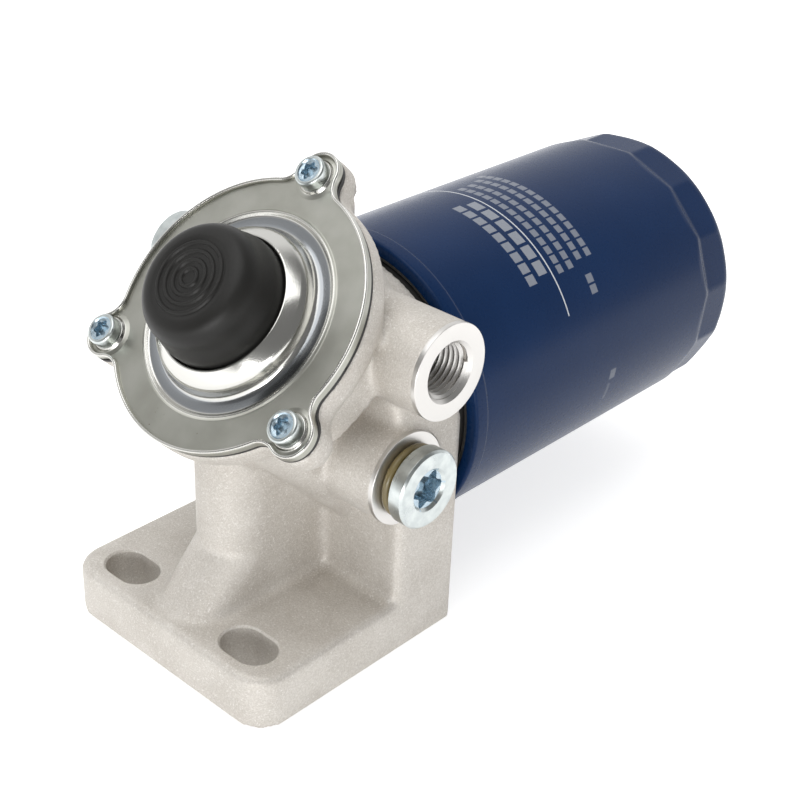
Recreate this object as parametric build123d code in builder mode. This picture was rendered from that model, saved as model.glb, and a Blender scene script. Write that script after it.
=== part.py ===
"""Diesel fuel filter: a cast head with a hand primer on top and a spin-on can on its side.

Origin: midway between the two mounting slots, on the foot's flat underside.
+X runs along the can's axis, away from the head. +Z is up, away from the foot.
"""
from build123d import *
from math import cos, radians, sin, sqrt
import os

os.makedirs("parts", exist_ok=True)

# Foot of the head
foot_width = 74.0
foot_thickness = 14.5
foot_overhang = 10.0
foot_corner_radius = 9.0
foot_edge_radius = 2.0
slot_spacing = 45.0
slot_width = 11.0
slot_length = 16.0

# Seat wall that carries the can
seat_distance = 58.0
wall_thickness = 21.0
wall_edge_radius = 3.0
can_axis_height = 57.0
seat_channel_inner = 12.5
seat_land = 2.5
seat_channel_depth = 4.0

# Column and core between the foot, the wall and the primer
column_width = 20.6
column_nose = 16.5
column_foot_nose = 3.9
column_slope_top = 28.3
column_top = 60.0
root_radius = 2.4
core_width = 44.0
core_above_axis = 14.5
core_below_axis = 28.0
core_radius = 6.0

# Hand primer: its axis leans back in the plane of symmetry
primer_tilt = 44.0
primer_x = 17.65
primer_z = 90.15
flange_radius = 36.4
flange_thickness = 5.5
ear_circle_radius = 38.0
ear_radius = 7.0
ear_blend = 4.0
ear_rib_end = 50.0
screw_count = 3
chamber_radius = 27.0
chamber_wall = 4.0
chamber_depth = 15.0
chamber_floor_thickness = 5.0

# Primer cover, pressed from sheet
cover_sheet = 1.2
cover_margin = 1.1
cover_lip_height = 1.0
bead_radius = 25.8
bead_height = 0.5
bead_width = 1.2
channel_radius = 21.8
channel_depth = 0.3
bell_radius = 20.6
bell_height = 3.4
press_radius = 1.5
neck_radius = 17.2
neck_height = 6.7
pad_radius = 5.8
pad_height = 0.9
pad_taper = 50.0

# Diaphragm with its two clamp plates, rod and button
diaphragm_thickness = 1.0
diaphragm_margin = 0.5
fold_inner = 19.0
fold_outer = 26.9
fold_depth = 2.6
plate_thickness = 1.2
plate_radius = 18.0
plate_step = 1.0
rod_radius = 3.0
rod_collar_radius = 5.0
rod_collar_height = 1.5
rod_head_radius = 4.2
rod_head_height = 1.2
rod_reach = 14.5
button_radius = 16.7
button_skirt = 4.0
button_skirt_top = 8.5
button_waist_radius = 15.9
button_waist_height = 12.2
button_shoulder_radius = 15.3
button_shoulder_height = 15.6
button_round_radius = 13.4
button_round_height = 18.5
button_crown_radius = 9.6
button_height = 19.4
button_wall = 2.4
button_boss_radius = 5.4
ring_count = 4
ring_pitch = 2.2
ring_section = 0.4
fit_gap = 0.05
pick_margin = 0.1

# Return spring under the diaphragm
spring_wire = 1.4
spring_radius = 5.9
spring_turns = 3.5
spring_gap = 0.05

# Check valves in the chamber floor
valve_radius = 4.8
valve_seat_thickness = 2.0
valve_hole_radius = 0.9
valve_hole_circle_radius = 2.9
valve_hole_count = 4
umbrella_radius = 4.2
umbrella_height = 1.3
umbrella_taper = 55.0
valve_stem_radius = 1.1
valve_bulb_radius = 1.5
valve_bulb_height = 1.2
valve_bulb_taper = 20.0
valve_space = 4.0
inlet_valve_offset = 13.0
outlet_valve_drop = 3.0
outlet_valve_side = 14.0

# Ports and galleries
port_radius = 7.0
port_depth = 13.0
boss_radius = 12.2
upper_port_x = 43.0
upper_port_rise = 25.6
upper_boss_reach = 8.0
lower_port_x = 37.5
lower_port_drop = 4.0
lower_boss_reach = 1.0
gallery_radius = 4.0
feed_radius = 3.0
feed_z = 74.0
feed_x = 30.5

# Screwed plugs with their sealing rings
plug_head_radius = 10.2
plug_head_height = 4.4
plug_edge = 0.6
plug_shank_length = 11.0
plug_thread_clearance = 0.1
plug_socket_depth = 3.4
socket_core_radius = 4.4
socket_lobe_radius = 1.35
seal_section = 1.1
seal_radius = 8.5

# Cover screws
screw_radius = 2.4
screw_clearance = 0.35
screw_length = 7.2
screw_hole_depth = 4.4
screw_head_radius = 4.5
screw_head_height = 2.7
screw_head_round = 1.5
screw_socket_radius = 1.6
screw_socket_depth = 1.6

# Threaded spigot that holds the can
spigot_radius = 8.0
spigot_bore = 5.5
spigot_inside = 14.0
spigot_outside = 14.0
spigot_chamfer = 0.8
thread_clearance = 0.1

# Spin-on can
can_radius = 40.0
can_sheet = 0.6
can_length = 121.0
can_corner_radius = 7.0
can_end_rim = 6.0
can_dish_depth = 2.2
seam_start = 2.0
seam_length = 4.5
seam_bulge = 0.35
seam_gap = 0.3
seam_round = 0.3
flat_count = 15
flat_length = 17.5
flat_depth = 1.3
flat_ramp = 1.6
flat_turn = 16.5

# Lid, tapping plate and gasket at the can's open end
gasket_setback = 4.7
gasket_width = 4.3
gasket_height = 4.4
lid_sheet = 0.8
lid_ledge = 5.0
lid_lip_height = 1.2
lid_channel_gap = 0.5
lid_flange_gap = 0.3
tapping_plate_thickness = 4.0
tapping_plate_gap = 0.3
inlet_hole_radius = 3.2
inlet_hole_margin = 1.8
inlet_hole_count = 8

# Filter element
element_gap = 5.3
element_margin = 4.8
pleat_count = 40
pleat_inner = 17.0
paper_thickness = 0.6
fold_reach = 4.0
end_cap_sheet = 0.5
end_cap_rim = 4.0
end_cap_clearance = 0.3
end_cap_bore = 11.5
tube_radius = 16.5
tube_sheet = 0.5
tube_hole_radius = 3.0
tube_hole_rows = 4
tube_holes_round = 6
grommet_inner = 9.0
grommet_outer = 14.0
grommet_lip = 12.6
grommet_lip_height = 1.2
support_wire = 1.8
support_radius = 13.0
support_turns = 2.5
support_length = 15.7

# Planes and axes that the pieces share
lean = radians(primer_tilt)
primer_up = Vector(-cos(lean), 0, sin(lean))
primer_slope = Vector(sin(lean), 0, cos(lean))
primer_origin = Vector(primer_x, 0, primer_z)
primer_plane = Plane(origin=primer_origin, x_dir=primer_slope, z_dir=primer_up)
primer_section = Plane(origin=primer_origin, x_dir=primer_slope, z_dir=(0, -1, 0))
primer_axis = Axis(primer_origin, primer_up)
can_origin = Vector(seat_distance, 0, can_axis_height)
can_plane = Plane(origin=can_origin, x_dir=(0, 1, 0), z_dir=(1, 0, 0))
can_section = Plane(origin=can_origin, x_dir=(1, 0, 0), z_dir=(0, -1, 0))
can_axis = Axis(can_origin, (1, 0, 0))
inlet_place = (inlet_valve_offset, 0)
outlet_place = (-outlet_valve_drop, outlet_valve_side)

# Heights along the primer's axis, from the cover's flat ring
diaphragm_top = -cover_sheet
flange_top = diaphragm_top - diaphragm_thickness
flange_bottom = flange_top - flange_thickness
chamber_floor = flange_top - chamber_depth
chamber_bottom = chamber_floor - chamber_floor_thickness
upper_plate_top = diaphragm_top + plate_thickness
lower_plate_bottom = flange_top - plate_thickness

# Port faces, measured from the plane of symmetry, and port heights
upper_face = foot_width / 2 + upper_boss_reach
lower_face = foot_width / 2 + lower_boss_reach
upper_port_z = can_axis_height + upper_port_rise
lower_port_z = can_axis_height - lower_port_drop

# Radii about the can's axis, worked inwards from the can's wall
gasket_outer = can_radius - gasket_setback
gasket_inner = gasket_outer - gasket_width
seat_channel_outer = gasket_inner - seat_land
lid_flange_radius = can_radius - can_sheet - lid_flange_gap
lid_bore = gasket_inner - lid_ledge
tapping_plate_radius = gasket_outer - tapping_plate_gap
inlet_hole_circle_radius = lid_bore - inlet_hole_margin - inlet_hole_radius
seam_mouth = gasket_outer + lid_channel_gap + lid_sheet + seam_gap
can_dish_radius = can_radius - can_corner_radius - can_end_rim
pleat_outer = can_radius - can_sheet - element_margin

# Distances along the can's axis, from the seat face
lid_floor = gasket_height + lid_sheet
plate_end = lid_floor + tapping_plate_thickness
element_start = plate_end + element_gap
can_inner_end = can_length - can_dish_depth - can_sheet
element_end = can_inner_end - support_length
element_length = element_end - element_start
flat_start = can_length - flat_length


def ear_outline(radius, ear, blend):
    """Round outline with three rounded ears, one of them at the top of the slope."""
    Circle(radius)
    with PolarLocations(ear_circle_radius, screw_count):
        Circle(ear)
    fillet([v for v in vertices() if v.center().length > radius - pick_margin], blend)


def side_plane(x, z, y, side):
    """Plane on a port's face, seen from outside, on the near (-1) or far (+1) side."""
    return Plane(origin=(x, side * y, z), x_dir=(-side, 0, 0), z_dir=(0, side, 0))


def column_outline(nose):
    """Plan of the column: a half-round nose and straight sides back into the wall."""
    back = seat_distance - wall_thickness / 2
    with Locations(((nose + back) / 2, 0)):
        Rectangle(back - nose, column_width)
    with Locations((nose, 0)):
        Circle(column_width / 2)


def lobed_socket(core, lobe):
    """Six-lobed wrench socket."""
    Circle(core)
    with PolarLocations(core, 6):
        Circle(lobe)


# Cast aluminium head: foot, seat wall, column, core, primer flange and four port bosses
with BuildPart() as foot_block:
    with BuildSketch() as foot_outline:
        with Locations(((seat_distance - foot_overhang) / 2, 0)):
            Rectangle(seat_distance + foot_overhang, foot_width)
        fillet(foot_outline.vertices().group_by(Axis.X)[0], foot_corner_radius)
    extrude(amount=foot_thickness)
    top_edges = foot_block.faces().sort_by(Axis.Z)[-1].edges()
    fillet(top_edges.sort_by(Axis.X)[:-1], foot_edge_radius)

with BuildPart() as wall_block:
    with BuildSketch(can_plane):
        Circle(foot_width / 2)
        with Locations((0, -can_axis_height / 2)):
            Rectangle(foot_width, can_axis_height)
    extrude(amount=-wall_thickness)
    front_edges = wall_block.faces().sort_by(Axis.X)[0].edges()
    fillet(front_edges.sort_by(Axis.Z)[1:], wall_edge_radius)

with BuildPart() as filter_head:
    with BuildSketch(primer_plane.offset(flange_bottom)):
        with Locations((ear_circle_radius, 0)):
            Circle(ear_radius)
        with Locations(((ear_circle_radius + chamber_radius) / 2, 0)):
            Rectangle(ear_circle_radius - chamber_radius, 2 * ear_radius)
    extrude(amount=-seat_distance)
    split(bisect_by=Plane.YZ.offset(ear_rib_end), keep=Keep.BOTTOM)
    add(foot_block.part)
    add(wall_block.part)
    with BuildSketch(Plane.XY.offset(foot_thickness)):
        column_outline(column_foot_nose)
    with BuildSketch(Plane.XY.offset(column_slope_top)):
        column_outline(column_nose)
    loft(ruled=True)
    with BuildSketch(Plane.XY.offset(column_slope_top)):
        column_outline(column_nose)
    extrude(amount=column_top - column_slope_top)

    wall_front = seat_distance - wall_thickness
    roots = [
        e for e in filter_head.edges().filter_by_position(Axis.Z, foot_thickness, column_top)
        if (abs(e.center().X - wall_front) < pick_margin and e.bounding_box().size.X < pick_margin
            and abs(e.center().Y) < foot_width / 2 - wall_edge_radius
            and e.center().Z < column_top - pick_margin)
        or (e.bounding_box().size.Z < pick_margin and abs(e.center().Z - foot_thickness) < pick_margin
            and abs(e.center().Y) < column_width / 2 + pick_margin and e.center().X < wall_front)
    ]
    fillet(roots, root_radius)

    with BuildSketch(primer_plane.offset(flange_bottom)):
        with Locations(((core_above_axis - core_below_axis) / 2, 0)):
            RectangleRounded(core_above_axis + core_below_axis, core_width, core_radius)
    extrude(amount=-(seat_distance + wall_thickness))
    with BuildSketch(primer_plane.offset(flange_bottom)):
        Circle(chamber_radius + chamber_wall)
    extrude(amount=chamber_bottom - flange_bottom)
    with BuildSketch(primer_plane.offset(flange_top)):
        ear_outline(flange_radius, ear_radius, ear_blend)
    extrude(amount=-flange_thickness)
    for side in (-1, 1):
        with BuildSketch(side_plane(upper_port_x, upper_port_z, upper_face, side)):
            Circle(boss_radius)
        extrude(amount=-upper_face)
        with BuildSketch(side_plane(lower_port_x, lower_port_z, lower_face, side)):
            Circle(boss_radius)
        extrude(amount=-lower_face)

    with BuildSketch(can_plane):
        Rectangle(4 * foot_width, 4 * foot_width)
    extrude(amount=2 * seat_distance, mode=Mode.SUBTRACT)
    with BuildSketch(Plane.XY):
        Rectangle(4 * foot_width, 4 * foot_width)
    extrude(amount=-foot_width, mode=Mode.SUBTRACT)

    with BuildSketch(primer_plane.offset(flange_top)):
        Circle(chamber_radius)
    extrude(amount=-chamber_depth, mode=Mode.SUBTRACT)
    with BuildSketch(primer_plane.offset(flange_top)):
        with PolarLocations(ear_circle_radius, screw_count):
            Circle(screw_radius + fit_gap)
    extrude(amount=-screw_hole_depth, mode=Mode.SUBTRACT)

    for side in (-1, 1):
        with Locations(side_plane(upper_port_x, upper_port_z, upper_face, side)):
            CounterBoreHole(gallery_radius, port_radius, port_depth, depth=upper_face)
        with Locations(side_plane(lower_port_x, lower_port_z, lower_face, side)):
            CounterBoreHole(gallery_radius, port_radius, port_depth, depth=lower_face)

    with BuildSketch(Plane.XY):
        with GridLocations(1, slot_spacing, 1, 2):
            SlotOverall(slot_length, slot_width, rotation=90)
    extrude(amount=foot_thickness, mode=Mode.SUBTRACT)

    with BuildSketch(can_plane):
        Circle(seat_channel_outer)
        Circle(seat_channel_inner, mode=Mode.SUBTRACT)
    extrude(amount=-seat_channel_depth, mode=Mode.SUBTRACT)
    with Locations(can_plane):
        Hole(spigot_radius + fit_gap, depth=spigot_inside)
        Hole(spigot_bore, depth=seat_distance - lower_port_x)
    with BuildSketch(can_plane):
        with Locations((outlet_valve_side, feed_z - can_axis_height)):
            Circle(feed_radius)
    extrude(amount=-(seat_distance - feed_x), mode=Mode.SUBTRACT)

    with BuildSketch(primer_plane.offset(chamber_floor)):
        with Locations(inlet_place, outlet_place):
            Circle(valve_radius + fit_gap)
    extrude(amount=-valve_seat_thickness, mode=Mode.SUBTRACT)
    with BuildSketch(primer_plane.offset(chamber_floor - valve_seat_thickness)):
        with Locations(inlet_place, outlet_place):
            Circle(umbrella_radius + 2 * fit_gap)
    extrude(amount=-valve_space, mode=Mode.SUBTRACT)
filter_head.part.label = "filter_head"
export_step(filter_head.part, "parts/filter_head.step")


# Steel nipple, screwed into the head, that holds the can and carries clean fuel back
with BuildPart() as can_spigot:
    with BuildSketch(can_plane.offset(-spigot_inside)):
        Circle(spigot_radius)
        Circle(spigot_bore, mode=Mode.SUBTRACT)
    extrude(amount=spigot_inside + spigot_outside)
    rims = [e for e in can_spigot.edges().filter_by(GeomType.CIRCLE) if e.radius > spigot_bore + pick_margin]
    chamfer(rims, spigot_chamfer)
can_spigot.part.label = "can_spigot"
export_step(can_spigot.part, "parts/can_spigot.step")

# Pressed cover over the primer: turned-up rim, bead, bell and neck, raised pads for the screws
with BuildPart() as primer_cover:
    flat_inner = bead_radius + 2 * bead_width
    with BuildSketch(primer_plane.offset(diaphragm_top)):
        ear_outline(flange_radius - cover_margin, ear_radius - cover_margin, ear_blend + cover_margin)
    extrude(amount=cover_sheet + cover_lip_height)
    rim_margin = cover_margin + cover_sheet
    with BuildSketch(primer_plane):
        ear_outline(flange_radius - rim_margin, ear_radius - rim_margin, ear_blend + rim_margin)
    extrude(amount=cover_lip_height, mode=Mode.SUBTRACT)
    with BuildSketch(primer_plane.offset(diaphragm_top)):
        Circle(flat_inner)
    extrude(amount=cover_sheet, mode=Mode.SUBTRACT)
    with BuildSketch(primer_section) as pressed_profile:
        with BuildLine():
            FilletPolyline(
                (flat_inner, 0), (bead_radius + bead_width, 0), (bead_radius, bead_height),
                (bead_radius - bead_width, -channel_depth), (channel_radius, -channel_depth),
                (bell_radius, bell_height), (neck_radius + cover_sheet, neck_height), radius=press_radius,
            )
            offset(amount=cover_sheet, side=Side.LEFT)
        make_face()
    revolve(axis=primer_axis)
    with BuildSketch(primer_plane):
        with PolarLocations(ear_circle_radius, screw_count):
            Circle(pad_radius)
    extrude(amount=pad_height, taper=pad_taper)
    with BuildSketch(primer_plane.offset(diaphragm_top)):
        with PolarLocations(ear_circle_radius, screw_count):
            Circle(screw_radius + screw_clearance)
    extrude(amount=cover_sheet + pad_height, mode=Mode.SUBTRACT)
primer_cover.part.label = "primer_cover"
export_step(primer_cover.part, "parts/primer_cover.step")

# Rubber diaphragm clamped between flange and cover, with one rolled fold
with BuildPart() as primer_diaphragm:
    with BuildSketch(primer_plane.offset(flange_top)):
        ear_outline(
            flange_radius - diaphragm_margin, ear_radius - diaphragm_margin, ear_blend + diaphragm_margin
        )
        with PolarLocations(ear_circle_radius, screw_count):
            Circle(screw_radius + screw_clearance, mode=Mode.SUBTRACT)
        Circle(fold_outer, mode=Mode.SUBTRACT)
    extrude(amount=diaphragm_thickness)
    with BuildSketch(primer_section):
        with BuildLine():
            fold_middle = (fold_inner + fold_outer) / 2
            Polyline((rod_radius + fit_gap, diaphragm_top), (fold_inner, diaphragm_top))
            Spline(
                (fold_inner, diaphragm_top), (fold_middle, diaphragm_top - fold_depth),
                (fold_outer, diaphragm_top), tangents=((1, 0), (1, 0)),
            )
            Polyline((fold_outer, diaphragm_top), (fold_outer, flange_top))
            Spline(
                (fold_outer, flange_top), (fold_middle, flange_top - fold_depth),
                (fold_inner, flange_top), tangents=((-1, 0), (-1, 0)),
            )
            Polyline(
                (fold_inner, flange_top), (rod_radius + fit_gap, flange_top),
                (rod_radius + fit_gap, diaphragm_top),
            )
        make_face()
    revolve(axis=primer_axis)
primer_diaphragm.part.label = "primer_diaphragm"
export_step(primer_diaphragm.part, "parts/primer_diaphragm.step")


def clamp_plate(height, radius):
    """Steel washer that presses on one side of the diaphragm."""
    with BuildPart() as plate:
        with BuildSketch(primer_plane.offset(height)):
            Circle(radius)
            Circle(rod_radius + fit_gap, mode=Mode.SUBTRACT)
        extrude(amount=plate_thickness)
    return plate.part


upper_clamp_plate = clamp_plate(diaphragm_top, plate_radius)
upper_clamp_plate.label = "upper_clamp_plate"
export_step(upper_clamp_plate, "parts/upper_clamp_plate.step")

lower_clamp_plate = clamp_plate(lower_plate_bottom, plate_radius - plate_step)
lower_clamp_plate.label = "lower_clamp_plate"
export_step(lower_clamp_plate, "parts/lower_clamp_plate.step")

# Rod through the plates, with a collar above them and a peened end below
with BuildPart() as primer_rod:
    with BuildSketch(primer_plane.offset(lower_plate_bottom - rod_head_height)):
        Circle(rod_head_radius)
    extrude(amount=rod_head_height)
    with BuildSketch(primer_plane.offset(lower_plate_bottom)):
        Circle(rod_radius)
    extrude(amount=rod_reach - lower_plate_bottom)
    with BuildSketch(primer_plane.offset(upper_plate_top)):
        Circle(rod_collar_radius)
    extrude(amount=rod_collar_height)
primer_rod.part.label = "primer_rod"
export_step(primer_rod.part, "parts/primer_rod.step")

# Moulded push button: flared skirt, domed shoulder, rings on the crown, boss for the rod
with BuildPart() as primer_button:
    boss_bottom = upper_plate_top + rod_collar_height
    with BuildSketch(primer_section):
        with BuildLine():
            Polyline((0, button_skirt), (button_radius, button_skirt), (button_radius, button_skirt_top))
            Spline(
                (button_radius, button_skirt_top), (button_waist_radius, button_waist_height),
                (button_shoulder_radius, button_shoulder_height), (button_round_radius, button_round_height),
                (button_crown_radius, button_height), tangents=((0, 1), (-1, 0)),
            )
            Polyline((button_crown_radius, button_height), (0, button_height), (0, button_skirt))
        make_face()
    revolve(axis=primer_axis)
    with BuildSketch(primer_section):
        with GridLocations(ring_pitch, 1, ring_count, 1):
            with Locations(((ring_count + 1) / 2 * ring_pitch, button_height)):
                Circle(ring_section)
    revolve(axis=primer_axis)
    with BuildSketch(primer_section):
        inner_top = button_height - button_wall
        with BuildLine():
            Polyline(
                (0, button_skirt), (button_radius - button_wall, button_skirt),
                (button_radius - button_wall, button_skirt_top),
                (button_shoulder_radius - button_wall, button_shoulder_height),
                (button_crown_radius, inner_top), (0, inner_top), (0, button_skirt),
            )
        make_face()
    revolve(axis=primer_axis, mode=Mode.SUBTRACT)
    with BuildSketch(primer_plane.offset(boss_bottom)):
        Circle(button_boss_radius)
    extrude(amount=inner_top - boss_bottom)
    with BuildSketch(primer_plane.offset(boss_bottom)):
        Circle(rod_radius + fit_gap)
    extrude(amount=rod_reach - boss_bottom, mode=Mode.SUBTRACT)
primer_button.part.label = "primer_button"
export_step(primer_button.part, "parts/primer_button.step")


def coil(origin, direction, height, radius, wire, turns):
    """Round-wire compression spring standing between two flat seats."""
    with BuildPart() as spring:
        with BuildLine() as centre_line:
            Helix(height / turns, height, radius, center=origin, direction=direction)
        with BuildSketch(Plane(origin=centre_line.line @ 0, z_dir=centre_line.line % 0)):
            Circle(wire / 2)
        sweep(is_frenet=True)
    return spring.part


spring_foot = chamber_floor + spring_wire / 2 + spring_gap
return_spring = coil(
    primer_plane.offset(spring_foot).origin, primer_up,
    lower_plate_bottom - spring_wire / 2 - spring_gap - spring_foot, spring_radius, spring_wire, spring_turns,
)
return_spring.label = "return_spring"
export_step(return_spring, "parts/return_spring.step")

# Three pan-head screws with six-lobed sockets, screwed into the flange ears
with BuildPart() as cover_screws:
    with BuildSketch(primer_plane.offset(pad_height)):
        with PolarLocations(ear_circle_radius, screw_count):
            Circle(screw_head_radius)
    extrude(amount=screw_head_height)
    fillet(cover_screws.faces().sort_by(primer_axis)[-screw_count:].edges(), screw_head_round)
    with BuildSketch(primer_plane.offset(pad_height + screw_head_height)):
        with PolarLocations(ear_circle_radius, screw_count):
            Circle(screw_socket_radius)
    extrude(amount=-screw_socket_depth, mode=Mode.SUBTRACT)
    with BuildSketch(primer_plane.offset(pad_height)):
        with PolarLocations(ear_circle_radius, screw_count):
            Circle(screw_radius)
    extrude(amount=-screw_length)
cover_screws.part.label = "cover_screws"
export_step(cover_screws.part, "parts/cover_screws.step")


def valve_seat(place):
    """Perforated disc pressed into the chamber floor."""
    with BuildPart() as seat:
        with BuildSketch(primer_plane.offset(chamber_floor)):
            with Locations(place):
                Circle(valve_radius)
                Circle(valve_stem_radius + fit_gap, mode=Mode.SUBTRACT)
                with PolarLocations(valve_hole_circle_radius, valve_hole_count):
                    Circle(valve_hole_radius, mode=Mode.SUBTRACT)
        extrude(amount=-valve_seat_thickness)
    return seat.part


def valve_umbrella(place, height, direction):
    """Rubber disc held by its own stem, lying on one side of a valve seat."""
    face = primer_plane.offset(height)
    centre = face.from_local_coords((*place, 0))
    plane = Plane(origin=centre, x_dir=face.x_dir, z_dir=face.z_dir * direction)
    with BuildPart() as umbrella:
        with BuildSketch(plane):
            Circle(umbrella_radius)
        extrude(amount=umbrella_height, taper=umbrella_taper)
        with BuildSketch(plane):
            Circle(valve_stem_radius)
        extrude(amount=-valve_seat_thickness)
        with BuildSketch(plane.offset(-valve_seat_thickness)):
            Circle(valve_bulb_radius)
        extrude(amount=-valve_bulb_height, taper=valve_bulb_taper)
    return umbrella.part


inlet_valve_seat = valve_seat(inlet_place)
inlet_valve_seat.label = "inlet_valve_seat"
export_step(inlet_valve_seat, "parts/inlet_valve_seat.step")

inlet_valve_umbrella = valve_umbrella(inlet_place, chamber_floor, 1)
inlet_valve_umbrella.label = "inlet_valve_umbrella"
export_step(inlet_valve_umbrella, "parts/inlet_valve_umbrella.step")

outlet_valve_seat = valve_seat(outlet_place)
outlet_valve_seat.label = "outlet_valve_seat"
export_step(outlet_valve_seat, "parts/outlet_valve_seat.step")

outlet_valve_umbrella = valve_umbrella(outlet_place, chamber_floor - valve_seat_thickness, -1)
outlet_valve_umbrella.label = "outlet_valve_umbrella"
export_step(outlet_valve_umbrella, "parts/outlet_valve_umbrella.step")


def port_plug(plane):
    """Screwed plug with a round head, its back clear of the boss by the sealing ring."""
    with BuildPart() as plug:
        with BuildSketch(plane.offset(2 * seal_section)):
            Circle(plug_head_radius)
        extrude(amount=plug_head_height)
        chamfer(plug.edges().filter_by(GeomType.CIRCLE), plug_edge)
        with BuildSketch(plane.offset(2 * seal_section + plug_head_height)):
            lobed_socket(socket_core_radius, socket_lobe_radius)
        extrude(amount=-plug_socket_depth, mode=Mode.SUBTRACT)
        with BuildSketch(plane.offset(2 * seal_section)):
            Circle(port_radius - plug_thread_clearance)
        extrude(amount=-plug_shank_length)
    return plug.part


def plug_seal(plane):
    """Round sealing ring between a plug's head and the boss face."""
    with BuildPart() as ring:
        with Locations(plane.offset(seal_section)):
            Torus(seal_radius, seal_section)
    return ring.part


near_plane = side_plane(lower_port_x, lower_port_z, lower_face, -1)
far_plane = side_plane(upper_port_x, upper_port_z, upper_face, 1)

near_port_plug = port_plug(near_plane)
near_port_plug.label = "near_port_plug"
export_step(near_port_plug, "parts/near_port_plug.step")

near_plug_seal = plug_seal(near_plane)
near_plug_seal.label = "near_plug_seal"
export_step(near_plug_seal, "parts/near_plug_seal.step")

far_port_plug = port_plug(far_plane)
far_port_plug.label = "far_port_plug"
export_step(far_port_plug, "parts/far_port_plug.step")

far_plug_seal = plug_seal(far_plane)
far_plug_seal.label = "far_plug_seal"
export_step(far_plug_seal, "parts/far_plug_seal.step")

# Drawn steel can: rolled seam at the open end, pressed flats and a dished end
with BuildPart() as flat_form:
    with BuildSketch(can_plane.offset(flat_start)):
        RegularPolygon(can_radius + fit_gap, flat_count, major_radius=False, rotation=flat_turn)
    with BuildSketch(can_plane.offset(flat_start + flat_ramp)):
        RegularPolygon(can_radius - flat_depth, flat_count, major_radius=False, rotation=flat_turn)
    loft(ruled=True)
    with BuildSketch(can_plane.offset(flat_start + flat_ramp)):
        RegularPolygon(can_radius - flat_depth, flat_count, major_radius=False, rotation=flat_turn)
    extrude(amount=can_length - flat_start)

with BuildPart() as can_shell:
    corner_start = can_length - can_corner_radius
    dish_bottom = can_length - can_dish_depth
    with BuildSketch(can_section):
        with BuildLine():
            Polyline((flat_start, 0), (flat_start, can_radius), (corner_start, can_radius))
            RadiusArc(
                (corner_start, can_radius), (can_length, can_radius - can_corner_radius),
                can_corner_radius,
            )
            Polyline(
                (can_length, can_radius - can_corner_radius), (can_length, can_dish_radius),
                (dish_bottom, can_dish_radius - can_dish_depth), (dish_bottom, 0), (flat_start, 0),
            )
        make_face()
    revolve(axis=can_axis)
    add(flat_form.part, mode=Mode.INTERSECT)
    seam_end = seam_start + seam_length
    with BuildSketch(can_section):
        with BuildLine():
            FilletPolyline(
                (flat_start, can_radius), (seam_end + seam_bulge, can_radius),
                (seam_end, can_radius + seam_bulge), (seam_start, can_radius + seam_bulge),
                (seam_start, seam_mouth), radius=seam_round,
            )
            Polyline((seam_start, seam_mouth), (flat_start, seam_mouth), (flat_start, can_radius))
        make_face()
    revolve(axis=can_axis)
    inner_radius = can_radius - can_sheet
    flat_inner_radius = inner_radius - flat_depth
    corner_centre = can_radius - can_corner_radius
    inner_corner = can_corner_radius - can_sheet
    corner_rise = flat_inner_radius - corner_centre
    corner_run = sqrt(inner_corner**2 - corner_rise**2)
    dish_inner = dish_bottom - can_sheet
    with BuildSketch(can_section):
        with BuildLine():
            Polyline(
                (dish_inner, can_dish_radius - can_dish_depth), (dish_inner, 0), (seam_start + can_sheet, 0),
                (seam_start + can_sheet, inner_radius), (flat_start - can_sheet, inner_radius),
                (flat_start + flat_ramp, flat_inner_radius), (corner_start + corner_run, flat_inner_radius),
            )
            RadiusArc(
                (corner_start + corner_run, flat_inner_radius),
                (corner_start + inner_corner, corner_centre), inner_corner,
            )
            Polyline(
                (corner_start + inner_corner, corner_centre), (corner_start + inner_corner, can_dish_radius),
                (dish_inner, can_dish_radius - can_dish_depth),
            )
        make_face()
    revolve(axis=can_axis, mode=Mode.SUBTRACT)
can_shell.part.label = "can_shell"
export_step(can_shell.part, "parts/can_shell.step")

# Lid pressed from sheet: flange under the seam, channel for the gasket, open middle
with BuildPart() as can_lid:
    channel_wall = gasket_outer + lid_channel_gap
    with BuildSketch(can_plane.offset(gasket_height)):
        Circle(channel_wall + lid_sheet)
        Circle(lid_bore, mode=Mode.SUBTRACT)
    extrude(amount=lid_sheet)
    with BuildSketch(can_plane.offset(gasket_height)):
        Circle(gasket_inner)
        Circle(gasket_inner - lid_sheet, mode=Mode.SUBTRACT)
    extrude(amount=-lid_lip_height)
    with BuildSketch(can_plane.offset(seam_start + can_sheet)):
        Circle(channel_wall + lid_sheet)
        Circle(channel_wall, mode=Mode.SUBTRACT)
    extrude(amount=gasket_height - seam_start)
    with BuildSketch(can_plane.offset(seam_start + can_sheet)):
        Circle(lid_flange_radius)
        Circle(channel_wall, mode=Mode.SUBTRACT)
    extrude(amount=lid_sheet)
can_lid.part.label = "can_lid"
export_step(can_lid.part, "parts/can_lid.step")

# Rubber gasket between the can and the head's seat face
with BuildPart() as can_gasket:
    with BuildSketch(can_plane):
        Circle(gasket_outer)
        Circle(gasket_inner, mode=Mode.SUBTRACT)
    extrude(amount=gasket_height)
can_gasket.part.label = "can_gasket"
export_step(can_gasket.part, "parts/can_gasket.step")

# Thick plate behind the lid: tapped middle, ring of inlet holes
with BuildPart() as tapping_plate:
    with BuildSketch(can_plane.offset(lid_floor)):
        Circle(tapping_plate_radius)
        Circle(spigot_radius + thread_clearance, mode=Mode.SUBTRACT)
        with PolarLocations(inlet_hole_circle_radius, inlet_hole_count):
            Circle(inlet_hole_radius, mode=Mode.SUBTRACT)
    extrude(amount=tapping_plate_thickness)
tapping_plate.part.label = "tapping_plate"
export_step(tapping_plate.part, "parts/tapping_plate.step")

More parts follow.
